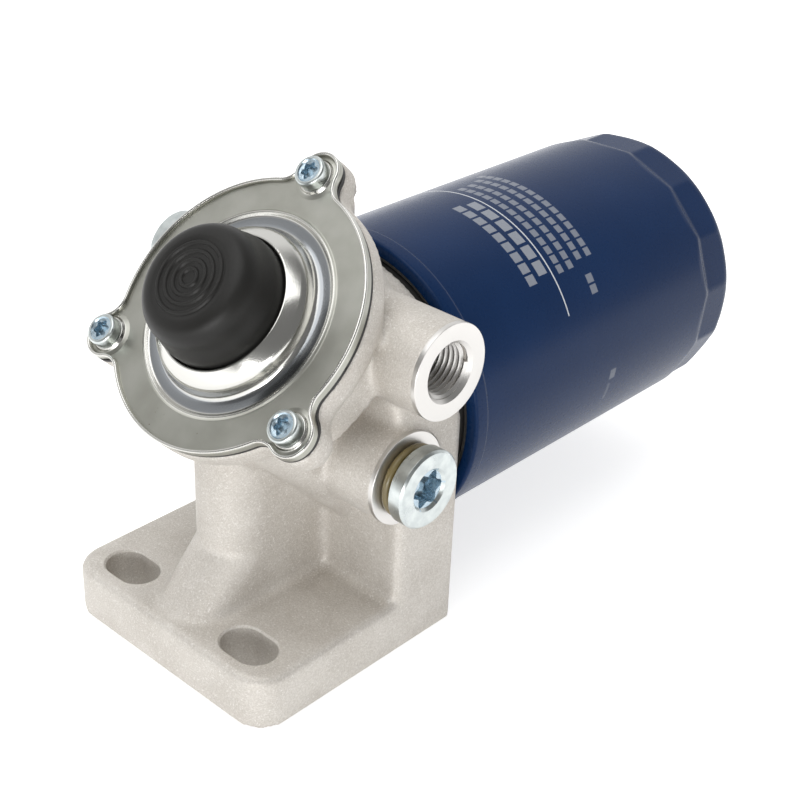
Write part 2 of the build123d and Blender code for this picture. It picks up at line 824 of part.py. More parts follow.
# Pleated filter paper, one folded strip closed to a ring
with BuildPart() as element_media:
    with BuildSketch(can_plane.offset(element_start + end_cap_sheet)):
        half_fold = 180 / pleat_count
        with BuildLine():
            folds = []
            for fold in range(2 * pleat_count):
                radius = pleat_outer if fold % 2 else pleat_inner + paper_thickness
                turn = radians(fold * half_fold)
                folds.append((radius * cos(turn), radius * sin(turn)))
            Polyline(*folds, close=True)
        make_face()
        with BuildLine(mode=Mode.PRIVATE) as inner_fold:
            folds = []
            for fold in range(2 * pleat_count):
                radius = pleat_outer - fold_reach if fold % 2 else pleat_inner
                turn = radians(fold * half_fold)
                folds.append((radius * cos(turn), radius * sin(turn)))
            Polyline(*folds, close=True)
        make_face(inner_fold.edges(), mode=Mode.SUBTRACT)
    extrude(amount=element_length - 2 * end_cap_sheet)
element_media.part.label = "element_media"
export_step(element_media.part, "parts/element_media.step")


def end_cap(distance, inward, bore):
    """Sheet cap with a turned rim that holds one end of the pleated paper."""
    cap_radius = pleat_outer + end_cap_clearance + end_cap_sheet
    with BuildPart() as cap:
        with BuildSketch(can_plane.offset(distance)):
            Circle(cap_radius)
            if bore:
                Circle(bore, mode=Mode.SUBTRACT)
        extrude(amount=inward * end_cap_sheet)
        with BuildSketch(can_plane.offset(distance)):
            Circle(cap_radius)
            Circle(cap_radius - end_cap_sheet, mode=Mode.SUBTRACT)
        extrude(amount=inward * end_cap_rim)
    return cap.part


element_open_cap = end_cap(element_start, 1, end_cap_bore)
element_open_cap.label = "element_open_cap"
export_step(element_open_cap, "parts/element_open_cap.step")

element_closed_cap = end_cap(element_end, -1, 0)
element_closed_cap.label = "element_closed_cap"
export_step(element_closed_cap, "parts/element_closed_cap.step")

# Perforated tube inside the pleats
with BuildPart() as centre_tube:
    tube_length = element_length - 2 * end_cap_sheet
    with BuildSketch(can_plane.offset(element_start + end_cap_sheet)):
        Circle(tube_radius)
        Circle(tube_radius - tube_sheet, mode=Mode.SUBTRACT)
    extrude(amount=tube_length)
    row_pitch = tube_length / (tube_hole_rows + 1)
    for row in range(1, tube_hole_rows + 1):
        distance = seat_distance + element_start + end_cap_sheet + row * row_pitch
        for turn in range(tube_holes_round // 2):
            across = Vector(0, 1, 0).rotate(Axis.X, turn * 360 / tube_holes_round)
            with BuildSketch(Plane(origin=(distance, 0, can_axis_height), x_dir=(1, 0, 0), z_dir=across)):
                Circle(tube_hole_radius)
            extrude(amount=tube_radius, both=True, mode=Mode.SUBTRACT)
centre_tube.part.label = "centre_tube"
export_step(centre_tube.part, "parts/centre_tube.step")

# Rubber grommet that seals the element's clean side against the tapping plate
with BuildPart() as element_grommet:
    with BuildSketch(can_section):
        with BuildLine():
            cap_end = element_start + end_cap_sheet
            Polyline(
                (plate_end, grommet_inner), (plate_end, grommet_outer), (element_start, grommet_outer),
                (element_start, end_cap_bore - fit_gap), (cap_end, end_cap_bore - fit_gap),
                (cap_end, grommet_lip), (cap_end + grommet_lip_height, grommet_lip),
                (cap_end + grommet_lip_height, grommet_inner), (plate_end, grommet_inner),
            )
        make_face()
    revolve(axis=can_axis)
element_grommet.part.label = "element_grommet"
export_step(element_grommet.part, "parts/element_grommet.step")

# Spring between the closed end of the element and the bottom of the can
support_foot = element_end + support_wire / 2 + spring_gap
support_spring = coil(
    can_plane.offset(support_foot).origin, Vector(1, 0, 0),
    can_inner_end - support_wire / 2 - spring_gap - support_foot,
    support_radius, support_wire, support_turns,
)
support_spring.label = "support_spring"
export_step(support_spring, "parts/support_spring.step")
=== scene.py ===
"""Diesel fuel filter: cast head with a hand primer on top and a spin-on can on its back."""
import bpy
from cmath import exp, phase
from math import acos, atan2, cos, hypot, pi, radians, sin, tan, tau
from mathutils import Matrix, Vector
from mathutils.geometry import interpolate_bezier


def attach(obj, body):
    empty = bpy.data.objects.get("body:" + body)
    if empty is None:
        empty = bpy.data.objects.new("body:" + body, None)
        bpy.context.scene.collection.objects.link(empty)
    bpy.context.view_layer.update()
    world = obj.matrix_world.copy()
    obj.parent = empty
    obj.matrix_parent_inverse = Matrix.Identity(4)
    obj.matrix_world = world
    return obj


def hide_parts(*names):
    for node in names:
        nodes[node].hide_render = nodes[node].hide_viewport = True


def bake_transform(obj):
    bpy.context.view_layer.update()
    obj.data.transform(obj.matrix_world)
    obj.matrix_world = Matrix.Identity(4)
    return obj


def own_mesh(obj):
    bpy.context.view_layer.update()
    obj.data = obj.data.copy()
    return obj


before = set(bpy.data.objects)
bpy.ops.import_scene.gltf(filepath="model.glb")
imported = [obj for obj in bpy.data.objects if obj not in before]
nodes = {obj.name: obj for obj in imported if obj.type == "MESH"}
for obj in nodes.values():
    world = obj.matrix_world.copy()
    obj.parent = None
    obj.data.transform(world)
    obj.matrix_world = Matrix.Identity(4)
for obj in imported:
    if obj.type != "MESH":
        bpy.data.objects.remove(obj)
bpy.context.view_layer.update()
mm = 0.001

# Cast head: foot, seat wall, column, pump chamber, primer flange with three ears and four port
# bosses in one aluminium casting, blasted after casting, so its edges are soft and its skin
# is finely grained. The flange is made deeper than in the solids, as in the photo.
head_grid = 0.85 * mm
head_smoothing = 4
smoothing_share = 0.5
merge_gap = 0.001 * mm
cut_beyond = 1.0 * mm
bore_segments = 96
boss_cut_radius = 12.6 * mm
boss_skim = 1.15 * mm
bore_cut_radius = 7.5 * mm
bore_cut_depth = 13.2 * mm
upper_port = Vector((43.0, 45.0, 82.6)) * mm
lower_port = Vector((37.5, 38.0, 53.0)) * mm
slot_width = 11.0 * mm
slot_length = 16.0 * mm
slot_place = 22.5 * mm
slot_fill = 0.6 * mm
slot_chamfer = 0.5 * mm
foot_top = 14.5 * mm
primer_origin = Vector((17.65, 0, 90.15)) * mm
primer_tilt = radians(44)
primer_up = Vector((-cos(primer_tilt), 0, sin(primer_tilt)))
primer_slope = Vector((sin(primer_tilt), 0, cos(primer_tilt)))
ear_circle = 38.0 * mm
flange_points = 240
flange_radius = 35.5 * mm
flange_ear = 6.1 * mm
flange_blend = 4.9 * mm
flange_inner = 29.0 * mm
flange_top = -2.2 * mm
flange_bottom = -10.0 * mm
flange_taper = 1.15 * mm
solid_flange_bottom = -7.75 * mm
trim_reach = 3.0 * mm


class Wire:
    """One output of a shader node. Sums and products with it add Math nodes."""

    def __init__(self, owner, socket):
        self.owner = owner
        self.socket = socket

    def __add__(self, other):
        return self.owner.math("ADD", self, other)

    def __sub__(self, other):
        return self.owner.math("SUBTRACT", self, other)

    def __rsub__(self, other):
        return self.owner.math("SUBTRACT", other, self)

    def __mul__(self, other):
        return self.owner.math("MULTIPLY", self, other)

    def __truediv__(self, other):
        return self.owner.math("DIVIDE", self, other)

    def __gt__(self, other):
        return self.owner.math("GREATER_THAN", self, other)

    def __lt__(self, other):
        return self.owner.math("LESS_THAN", self, other)

    __radd__ = __add__
    __rmul__ = __mul__

    def soft(self, low, high):
        """0 below low, 1 above high, with a smooth rise between them."""
        settings = {"interpolation_type": "SMOOTHSTEP", "clamp": True}
        ends = {"Value": self, "From Min": low, "From Max": high}
        return self.owner.add("ShaderNodeMapRange", settings, ends)


class Nodes:
    """Shader nodes of a material or of the world, added one by one."""

    def __init__(self, tree):
        self.tree = tree

    def add(self, kind, settings=None, inputs=None, output=0):
        """One node: its settings first, then the values and wires of its inputs."""
        node = self.tree.nodes.new(kind)
        for key, value in (settings or {}).items():
            setattr(node, key, value)
        for key, value in (inputs or {}).items():
            if isinstance(value, Wire):
                self.tree.links.new(value.socket, node.inputs[key])
            else:
                node.inputs[key].default_value = value
        return Wire(self, node.outputs[output])

    def math(self, operation, *terms):
        """One Math node on wires and numbers."""
        return self.add("ShaderNodeMath", {"operation": operation}, dict(enumerate(terms)))


class Look(Nodes):
    """A material on the Principled shader."""

    def __init__(self, name, colour, **fixed):
        self.material = bpy.data.materials.new(name)
        self.material.use_nodes = True
        super().__init__(self.material.node_tree)
        self.shader = self.tree.nodes["Principled BSDF"]
        self.shader.inputs["Base Color"].default_value = (*colour, 1)
        for socket, value in fixed.items():
            label = socket.replace("_", " ").title().replace("Ior", "IOR")
            self.shader.inputs[label].default_value = value

    def place(self, centre=(0, 0, 0), turn=(0, 0, 0), stretch=(1, 1, 1)):
        """Object coordinates in metres, moved to a centre, then turned and stretched."""
        point = self.add("ShaderNodeTexCoord", output="Object")
        moved = {"Vector": point, "Location": centre, "Rotation": turn, "Scale": stretch}
        return self.add("ShaderNodeMapping", {"vector_type": "TEXTURE"}, moved)

    def axes(self, point):
        """The three coordinates of a point."""
        split = self.add("ShaderNodeSeparateXYZ", inputs={0: point}).socket.node
        return [Wire(self, socket) for socket in split.outputs]

    def noise(self, point, size, detail=3, rough=0.5):
        """Soft noise with features of about this size."""
        inputs = {"Vector": point, "Scale": 1 / size, "Detail": detail, "Roughness": rough}
        return self.add("ShaderNodeTexNoise", inputs=inputs, output="Fac")

    def cells(self, point, size):
        """Cells of about this size, each with its own random value."""
        return self.add("ShaderNodeTexVoronoi", inputs={"Vector": point, "Scale": 1 / size}, output="Color")

    def mix(self, factor, first, second):
        """Colour between two others."""
        first = first if isinstance(first, Wire) else (*first, 1)
        second = second if isinstance(second, Wire) else (*second, 1)
        return self.add("ShaderNodeMix", {"data_type": "RGBA"}, {0: factor, 6: first, 7: second}, output=2)

    def set(self, socket, wire):
        """Feed one input of the shader."""
        self.tree.links.new(wire.socket, self.shader.inputs[socket])

    def bump(self, height, depth):
        """Raise the surface by up to this depth where height is 1."""
        normal = self.add("ShaderNodeBump", inputs={"Height": height, "Distance": depth, "Strength": 1.0})
        self.set("Normal", normal)


def cast_aluminium():
    """Blasted casting: warm pale grey and matt, with a fine grain and painted glints, bright specks in its
    colour.
    """
    look = Look("cast_aluminium", (0.62, 0.585, 0.545), metallic=0.45, specular_ior_level=0.35)
    point = look.place()
    cloud = look.noise(point, 12 * mm, detail=2)
    grain = look.noise(point, 0.4 * mm, detail=2, rough=0.7)
    glint = look.cells(point, 0.32 * mm)
    mottle = 0.4 * cloud.soft(0.3, 0.7) + 0.6 * grain.soft(0.38, 0.62)
    colour = look.mix(mottle, (0.52, 0.485, 0.44), (0.68, 0.65, 0.605))
    # Painted glints: a few bright cells lighten the colour, standing for the sparkle of the blasted skin.
    painted_glints = look.math("POWER", glint, 6.0)
    look.set("Base Color", look.mix(painted_glints, colour, (0.84, 0.82, 0.79)))
    look.set("Roughness", 0.50 + 0.15 * grain)
    look.bump(grain + 0.5 * glint, 0.05 * mm)
    return look.material


def pick(piece, *others):
    """Select just these objects, the first of them active."""
    bpy.ops.object.select_all(action="DESELECT")
    for body in (piece, *others):
        body.select_set(True)
    bpy.context.view_layer.objects.active = piece


def finish_piece(piece, material, body="housing", angle=30):
    """Give a new piece its material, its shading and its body."""
    piece.data.materials.clear()
    piece.data.materials.append(material)
    pick(piece)
    bpy.ops.object.shade_smooth_by_angle(angle=radians(angle))
    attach(piece, body)


def apply_modifier(piece, kind, **settings):
    """Add one modifier to a piece and apply it."""
    pick(piece)
    modifier = piece.modifiers.new(kind.lower(), kind)
    for key, value in settings.items():
        setattr(modifier, key, value)
    bpy.ops.object.modifier_apply(modifier=modifier.name)


def join(piece, *others):
    """Take other bodies into one piece."""
    pick(piece, *others)
    bpy.ops.object.join()


def copy_node(node, name):
    """New piece from a solid's own mesh, with its loose triangles joined up."""
    piece = bpy.data.objects.new(name, nodes[node].data.copy())
    bpy.context.scene.collection.objects.link(piece)
    pick(piece)
    bpy.ops.object.mode_set(mode="EDIT")
    bpy.ops.mesh.select_all(action="SELECT")
    bpy.ops.mesh.remove_doubles(threshold=merge_gap)
    bpy.ops.object.mode_set(mode="OBJECT")
    return piece


def frame_matrix(origin, across, up):
    """Matrix that carries a piece modelled about Z to its own axis."""
    side = Vector(up).cross(Vector(across))
    return Matrix.Translation(origin) @ Matrix((across, side, up)).transposed().to_4x4()


def port_matrix(port, side):
    """Place of a port: Z points out of the head, from the boss face."""
    return frame_matrix(Vector((port.x, side * port.y, port.z)), (-side, 0, 0), (0, side, 0))


def drawn(name, steps):
    """Line of vertices through (radius, height) steps, in the XZ plane, left in edit mode."""
    bpy.ops.object.select_all(action="DESELECT")
    bpy.ops.mesh.primitive_plane_add(size=mm)
    piece = bpy.context.object
    piece.name = piece.data.name = name
    bpy.ops.object.mode_set(mode="EDIT")
    bpy.ops.mesh.select_mode(type="VERT")
    bpy.ops.mesh.merge(type="CENTER")
    radius, height = steps[0]
    bpy.ops.transform.translate(value=(radius, 0, height))
    for last, step in zip(steps, steps[1:]):
        move = (step[0] - last[0], 0, step[1] - last[1])
        bpy.ops.mesh.extrude_vertices_move(TRANSFORM_OT_translate={"value": move})
    bpy.ops.mesh.select_all(action="SELECT")
    return piece


def spin_round(segments):
    """Spin the line in edit mode once round Z, and close its seam and poles."""
    bpy.ops.mesh.spin(steps=segments, angle=tau, center=(0, 0, 0), axis=(0, 0, 1))
    bpy.ops.mesh.select_all(action="SELECT")
    bpy.ops.mesh.remove_doubles(threshold=merge_gap)


def face_outwards():
    """Turn all faces of the piece in edit mode outwards, and leave edit mode."""
    bpy.ops.mesh.select_all(action="SELECT")
    bpy.ops.mesh.normals_make_consistent(inside=False)
    bpy.ops.object.mode_set(mode="OBJECT")


def turned(name, steps, segments, place=Matrix.Identity(4)):
    """Piece spun about Z from (radius, height) steps, then set at its place."""
    piece = drawn(name, steps)
    spin_round(segments)
    face_outwards()
    piece.data.transform(place)
    return piece


def cut(piece, cutter):
    """Take the cutter's shape out of a piece, then drop the cutter."""
    apply_modifier(piece, "BOOLEAN", operation="DIFFERENCE", solver="EXACT", object=cutter)
    bpy.data.objects.remove(cutter)


def slot_block(side, margin, bottom, top, flare=0.0):
    """Round-ended bar through one slot of the foot, wider at its top by the flare."""
    bpy.ops.object.select_all(action="DESELECT")
    radius = slot_width / 2 + margin
    bpy.ops.mesh.primitive_cone_add(
        vertices=bore_segments, radius1=radius, radius2=radius + flare, depth=top - bottom,
    )
    block = bpy.context.object
    reach = (slot_length - slot_width) / 2
    for corner in block.data.vertices:
        along = corner.co.y + (reach if corner.co.y > 0 else -reach)
        corner.co = (corner.co.x, side * slot_place + along, corner.co.z + (top + bottom) / 2)
    return block


def ear_outline(radius, ear, blend, count):
    """Points round a plate with three ears, the first of them on +X."""
    reach = radius + blend
    turn = acos((reach**2 + ear_circle**2 - (ear + blend) ** 2) / (2 * reach * ear_circle))
    centre = reach * exp(1j * turn)
    ear_turn = phase(centre - ear_circle)
    start = phase(ear_circle - centre)
    sweep = (phase(-centre) - start + pi) % tau - pi
    ear_count, blend_count = count // 30, count // 36
    plate_count = count // 6 - ear_count - blend_count
    half = [ear_circle + ear * exp(1j * ear_turn * step / ear_count) for step in range(ear_count)]
    for step in range(blend_count):
        half.append(centre + blend * exp(1j * (start + sweep * step / blend_count)))
    for step in range(plate_count + 1):
        half.append(radius * exp(1j * (turn + (pi / 3 - turn) * step / plate_count)))
    third = [point.conjugate() for point in half[1:-1]][::-1] + half
    return [point * exp(1j * tau * number / 3) for number in range(3) for point in third]


def flange_outline(offset):
    """Points round the primer flange, moved outwards by the offset."""
    radii = (flange_radius + offset, flange_ear + offset, flange_blend - offset)
    return ear_outline(*radii, flange_points)


def collar(name, outer, inner, place):
    """Closed ring between outer and inner loops, each a pair of (points, height) rims."""
    rims = [*outer, *inner[::-1]]
    bpy.ops.object.select_all(action="DESELECT")
    bpy.ops.mesh.primitive_torus_add(
        major_segments=len(rims[0][0]), minor_segments=len(rims), major_radius=1, minor_radius=0.1,
    )
    ring = bpy.context.object
    ring.name = ring.data.name = name
    for number, corner in enumerate(ring.data.vertices):
        points, height = rims[number % len(rims)]
        point = points[number // len(rims)]
        corner.co = (point.real, point.imag, height)
    bpy.ops.object.mode_set(mode="EDIT")
    face_outwards()
    ring.data.transform(place)
    return ring


aluminium = cast_aluminium()
primer_place = frame_matrix(primer_origin, primer_slope, primer_up)
head = copy_node("filter_head", "cast_head")
rim = flange_outline(0)
around = flange_outline(trim_reach)
trimmer_top = flange_top + cut_beyond
# The solids' wider flange is trimmed and a deeper one joined on. The slots are filled before
# the remesh and cut again after it, so that their edges stay crisp.
cut(head, collar(
    "flange_trimmer", [(around, trimmer_top), (around, solid_flange_bottom)],
    [(rim, trimmer_top), (rim, solid_flange_bottom)], primer_place,
))
inner_rim = [flange_inner * point / abs(point) for point in rim]
flange = collar(
    "flange", [(rim, flange_top), (flange_outline(-flange_taper), flange_bottom)],
    [(inner_rim, flange_top), (inner_rim, flange_bottom)], primer_place,
)
join(head, flange, slot_block(-1, slot_fill, 0, foot_top), slot_block(1, slot_fill, 0, foot_top))
apply_modifier(head, "REMESH", mode="VOXEL", voxel_size=head_grid)
apply_modifier(head, "SMOOTH", factor=smoothing_share, iterations=head_smoothing)
bore_steps = [
    (0, cut_beyond), (boss_cut_radius, cut_beyond), (boss_cut_radius, -boss_skim),
    (bore_cut_radius, -boss_skim), (bore_cut_radius, -bore_cut_depth), (0, -bore_cut_depth),
]
for side in (-1, 1):
    for port in (upper_port, lower_port):
        cut(head, turned("boss_cutter", bore_steps, bore_segments, port_matrix(port, side)))
    cut(head, slot_block(side, 0, -cut_beyond, foot_top + cut_beyond))
    cut(head, slot_block(side, 0, foot_top - slot_chamfer, foot_top + slot_chamfer, 2 * slot_chamfer))
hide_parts("filter_head")
finish_piece(head, aluminium, angle=40)

# Machined port ends: each boss is faced flat and bored, its mouth chamfered, and the two
# open bores are tapped. They are the same metal as the head, cut bright after blasting.
port_segments = 128
face_corners = [(7.0, -1.3), (7.0, -0.9), (7.9, 0.0, 0.08), (12.2, 0.0, 0.15), (12.2, -1.3)]
thread_corners = [
    (6.25, 0.64), (6.25, 0.84), (7.05, 1.43), (7.6, 1.43), (7.6, 0.07), (7.05, 0.07), (6.25, 0.64),
]
thread_pitch = 1.5 * mm
thread_turns = 8
thread_segments = 48
thread_start = 0.7 * mm
port_ends = {
    "inlet_port": (upper_port, -1), "outlet_port": (lower_port, 1),
    "near_plugged_port": (lower_port, -1), "far_plugged_port": (upper_port, 1),
}


def machined_aluminium():
    """Turned faces and threads: bright, nearly smooth, with fine tool marks."""
    look = Look("machined_aluminium", (0.66, 0.645, 0.625), metallic=1.0)
    point = look.place()
    marks = look.noise(point, 0.25 * mm, detail=1)
    cloud = look.noise(point, 4 * mm, detail=2)
    look.set("Roughness", 0.30 + 0.12 * cloud)
    look.bump(marks, 0.008 * mm)
    return look.material


def rounded(corners, steps=6):
    """Profile in metres from (radius, height, rounding) corners in millimetres."""
    points = []
    for before, corner, after in zip(corners[-1:] + corners[:-1], corners, corners[1:] + corners[:1]):
        here = complex(*corner[:2])
        if len(corner) == 2:
            points.append(here)
            continue
        rounding = corner[2]
        back = complex(*before[:2]) - here
        ahead = complex(*after[:2]) - here
        back, ahead = back / abs(back), ahead / abs(ahead)
        half = abs(phase(ahead / back)) / 2
        centre = here + (back + ahead) / abs(back + ahead) * rounding / sin(half)
        start = here + back * rounding / tan(half) - centre
        end = here + ahead * rounding / tan(half) - centre
        points += [centre + start * exp(1j * phase(end / start) * step / steps) for step in range(steps + 1)]
    return [(point.real * mm, point.imag * mm) for point in points]


machined = machined_aluminium()
for name, (port, side) in port_ends.items():
    steps = rounded(face_corners, steps=3)
    ring = turned(name + "_face", steps + steps[:1], port_segments, port_matrix(port, side))
    finish_piece(ring, machined)
    if "plugged" not in name:
        thread = drawn(name + "_thread", rounded(thread_corners))
        bpy.ops.mesh.remove_doubles(threshold=merge_gap)
        bpy.ops.object.mode_set(mode="OBJECT")
        apply_modifier(
            thread, "SCREW", axis="Z", angle=tau, screw_offset=thread_pitch,
            iterations=thread_turns, steps=thread_segments, render_steps=thread_segments,
            use_merge_vertices=True, merge_threshold=merge_gap,
        )
        bpy.ops.object.mode_set(mode="EDIT")
        bpy.ops.mesh.select_all(action="SELECT")
        bpy.ops.mesh.fill_holes(sides=len(thread_corners))
        face_outwards()
        reach = Matrix.Translation((0, 0, -(thread_turns + 1) * thread_pitch - thread_start))
        thread.data.transform(port_matrix(port, side) @ reach)
        finish_piece(thread, machined)

# Primer cover: one pressing of zinc-plated sheet. Its turned-up lip follows the round plate
# and its three ears, each ear has a raised pad for its screw, and its middle is drawn up into
# a bead, a channel and a bell-shaped neck.
plate_radius = 35.3 * mm
ear_radius = 5.9 * mm
ear_blend = 5.1 * mm
plate_sheet = 1.2 * mm
lip_height = 1.0 * mm
lip_width = 0.8 * mm
lip_round = 0.3 * mm
flat_inner = 28.2 * mm
flat_middle = (flat_inner + plate_radius) / 2
level_gap = 0.01 * mm
cover_points = 360
cover_top = [
    (28.2, 0), (27.1, 0, 0.5), (26.3, 0.6, 0.45), (25.4, -0.25, 0.6), (21.9, -0.3, 1.9),
    (20.9, 3.6, 3.5), (17.4, 6.6, 0.5), (16.9, 6.0, 0.3), (20.0, 3.0, 1.2), (21.0, -1.5, 0.8),
    (25.8, -1.0, 0.5), (28.2, -1.2),
]
screw_circle = 37.2 * mm
screw_count = 3
pad_segments = 96
pad_profile = [(2.75, -0.6), (2.75, 1.1), (4.25, 1.1, 0.15), (4.7, 0.35, 0.5), (5.8, 0.0), (5.8, -0.6)]
drawn_inside = (25.6 * mm, 26.8 * mm)
drawn_above = (0.2 * mm, 0.6 * mm)
channel_inner = (21.8 * mm, 22.8 * mm)
channel_outer = (24.8 * mm, 25.6 * mm)


def zinc_sheet():
    """Zinc-plated pressing: olive-grey and satin on the flats, bright where it was drawn, with painted shade
    in its channel.
    """
    look = Look("zinc_sheet", (0.58, 0.57, 0.50), metallic=1.0)
    point = look.place(primer_place.translation, primer_place.to_euler())
    x, y, height = look.axes(point)
    radius = look.math("SQRT", x * x + y * y)
    drawn_part = look.math("MAXIMUM", 1 - radius.soft(*drawn_inside), height.soft(*drawn_above))
    cloud = look.noise(point, 11 * mm, detail=3)
    grain = look.noise(point, 0.3 * mm, detail=2)
    speck_spread = look.noise(point, 14 * mm, detail=1)
    speck = look.noise(point, 0.9 * mm, detail=2, rough=0.6)
    specks = speck.soft(0.70, 0.75) * speck_spread.soft(0.52, 0.62)
    base = look.mix(cloud.soft(0.25, 0.75), (0.35, 0.35, 0.31), (0.44, 0.44, 0.40))
    base = look.mix(drawn_part, base, (0.62, 0.615, 0.585))
    # Painted shade: the hollow of the channel is coloured darker and bluer.
    channel_painted_shade = radius.soft(*channel_inner) * (1 - radius.soft(*channel_outer))
    base = look.mix(channel_painted_shade, base, (0.30, 0.315, 0.33))
    look.set("Base Color", look.mix(specks, base, (0.10, 0.065, 0.035)))
    look.set("Roughness", 0.34 - 0.20 * drawn_part + 0.06 * cloud + 0.3 * specks)
    look.bump(grain + 0.6 * specks, 0.01 * mm)
    return look.material


def select_rims(piece, level, test):
    """In edit mode, select just the edges at one height whose two radii pass a test."""
    bpy.ops.object.mode_set(mode="OBJECT")
    mesh = piece.data
    for part in (mesh.vertices, mesh.edges, mesh.polygons):
        part.foreach_set("select", [False] * len(part))
    for edge in mesh.edges:
        ends = [mesh.vertices[end].co for end in edge.vertices]
        edge.select = all(abs(end.z - level) < level_gap and test(hypot(end.x, end.y)) for end in ends)
    bpy.ops.object.mode_set(mode="EDIT")


zinc = zinc_sheet()
bpy.ops.object.select_all(action="DESELECT")
outline = ear_outline(plate_radius, ear_radius, ear_blend, cover_points)
bpy.ops.mesh.primitive_circle_add(vertices=len(outline), radius=plate_radius, fill_type="NGON")
plate = bpy.context.object
plate.name = plate.data.name = "pressed_cover"
for corner, point in zip(plate.data.vertices, outline):
    corner.co = (point.real, point.imag, -plate_sheet)
bpy.ops.object.mode_set(mode="EDIT")
bpy.ops.mesh.select_mode(type="FACE")
bpy.ops.mesh.select_all(action="SELECT")
bpy.ops.mesh.extrude_region_move(TRANSFORM_OT_translate={"value": (0, 0, plate_sheet + lip_height)})
bpy.ops.mesh.inset(thickness=lip_width, use_even_offset=True)
bpy.ops.mesh.extrude_region_move(TRANSFORM_OT_translate={"value": (0, 0, -lip_height)})
bpy.ops.mesh.delete(type="ONLY_FACE")
bpy.ops.object.mode_set(mode="OBJECT")
centre = drawn("cover_centre", rounded(cover_top))
spin_round(len(outline))
bpy.ops.object.mode_set(mode="OBJECT")
join(plate, centre)
bpy.ops.object.mode_set(mode="EDIT")
bpy.ops.mesh.select_mode(type="EDGE")
for level in (0, -plate_sheet):
    select_rims(plate, level, lambda radius: radius > flat_middle or abs(radius - flat_inner) < level_gap)
    bpy.ops.mesh.bridge_edge_loops()
select_rims(plate, lip_height, lambda radius: radius > flat_middle)
bpy.ops.mesh.bevel(offset=lip_round, segments=3)
face_outwards()
screw_seats = []
for number in range(screw_count):
    turn = tau * number / screw_count
    screw_seats.append(Matrix.Translation((screw_circle * cos(turn), screw_circle * sin(turn), 0)))
steps = rounded(pad_profile, steps=4)
join(plate, *[turned("screw_pad", steps + steps[:1], pad_segments, seat) for seat in screw_seats])
plate.data.transform(primer_place)
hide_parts("primer_cover")
finish_piece(plate, zinc, angle=35)

# Cover screws: three pan heads with six-lobed sockets, zinc plated, that clamp the cover and
# the diaphragm to the head through the ears.
screw_profile = [
    (0, -6.0), (2.4, -6.0), (2.4, 1.15), (3.8, 1.15), (4.0, 1.35, 0.1), (4.0, 4.1, 0.6),
    (3.1, 4.1, 0.1), (2.8, 3.7), (0, 3.7),
]
screw_segments = 64
screw_socket = 2.0 * mm
screw_socket_wave = 0.16
screw_socket_bottom = 1.8 * mm
screw_socket_top = 3.7 * mm
screw_dish = 3.05 * mm
screw_dish_top = 4.0 * mm
screw_edge = 0.1 * mm
socket_lobes = 6
socket_segments = 120
socket_margin = 0.1 * mm
edge_angle = radians(50)


def bright_zinc():
    """Bright zinc plate with a bluish cast: streaky on turned sides, satin on end faces."""
    look = Look("bright_zinc", (0.80, 0.82, 0.82), metallic=1.0)
    point = look.place()
    streak = look.noise(look.place(stretch=(12, 1, 12)), 0.6 * mm, detail=3)
    cloud = look.noise(point, 3 * mm, detail=3)
    look.set("Base Color", look.mix(cloud.soft(0.3, 0.7), (0.50, 0.54, 0.54), (0.64, 0.68, 0.67)))
    look.set("Roughness", 0.17 + 0.16 * streak + 0.10 * cloud)
    look.bump(streak, 0.012 * mm)
    return look.material


def socket_painted_shade():
    """Inside of a pressed socket: the same plate, painted darker and bluer as shade in its recess."""
    look = Look("socket_painted_shade", (0.30, 0.40, 0.50), metallic=1.0)
    cloud = look.noise(look.place(), 1.2 * mm, detail=3)
    look.set("Base Color", look.mix(cloud, (0.30, 0.40, 0.48), (0.56, 0.66, 0.72)))
    look.set("Roughness", 0.20 + 0.14 * cloud)
    return look.material


def sink_socket(piece, radius, wave, bottom, top, place):
    """Cut a six-lobed wrench socket into a piece."""
    bpy.ops.object.select_all(action="DESELECT")
    bpy.ops.mesh.primitive_cylinder_add(vertices=socket_segments, radius=radius, depth=top - bottom)
    cutter = bpy.context.object
    for corner in cutter.data.vertices:
        swell = 1 + wave * cos(socket_lobes * atan2(corner.co.y, corner.co.x))
        corner.co = (corner.co.x * swell, corner.co.y * swell, corner.co.z + (top + bottom) / 2)
    cutter.data.transform(place)
    cut(piece, cutter)


def ease_edges(piece, width):
    """Bevel the sharp edges of a piece."""
    apply_modifier(piece, "BEVEL", width=width, segments=2, limit_method="ANGLE", angle_limit=edge_angle)


def paint_socket_shade(piece, radius, bottom, top, place):
    """Give the faces of a socket, found by where they lie, the darker material that paints shade into the
    recess.
    """
    piece.data.materials.append(socket_shade_plating)
    back = place.inverted()
    for face in piece.data.polygons:
        spot = back @ face.center
        if hypot(spot.x, spot.y) < radius and bottom < spot.z < top:
            face.material_index = 1


plating = bright_zinc()
# Darker, bluer material for sockets: painted shade in their recesses.
socket_shade_plating = socket_painted_shade()
for number, seat in enumerate(screw_seats):
    place = primer_place @ seat
    screw = turned(f"cover_screw_{number + 1}", rounded(screw_profile), screw_segments, place)
    socket_mouth = screw_socket_top + cut_beyond
    sink_socket(screw, screw_socket, screw_socket_wave, screw_socket_bottom, socket_mouth, place)
    ease_edges(screw, screw_edge)
    finish_piece(screw, plating)
    # The socket and the dish of the head get painted shade.
    paint_socket_shade(screw, screw_dish, screw_socket_bottom - socket_margin, screw_dish_top, place)
    if number == 0:
        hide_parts("cover_screws")

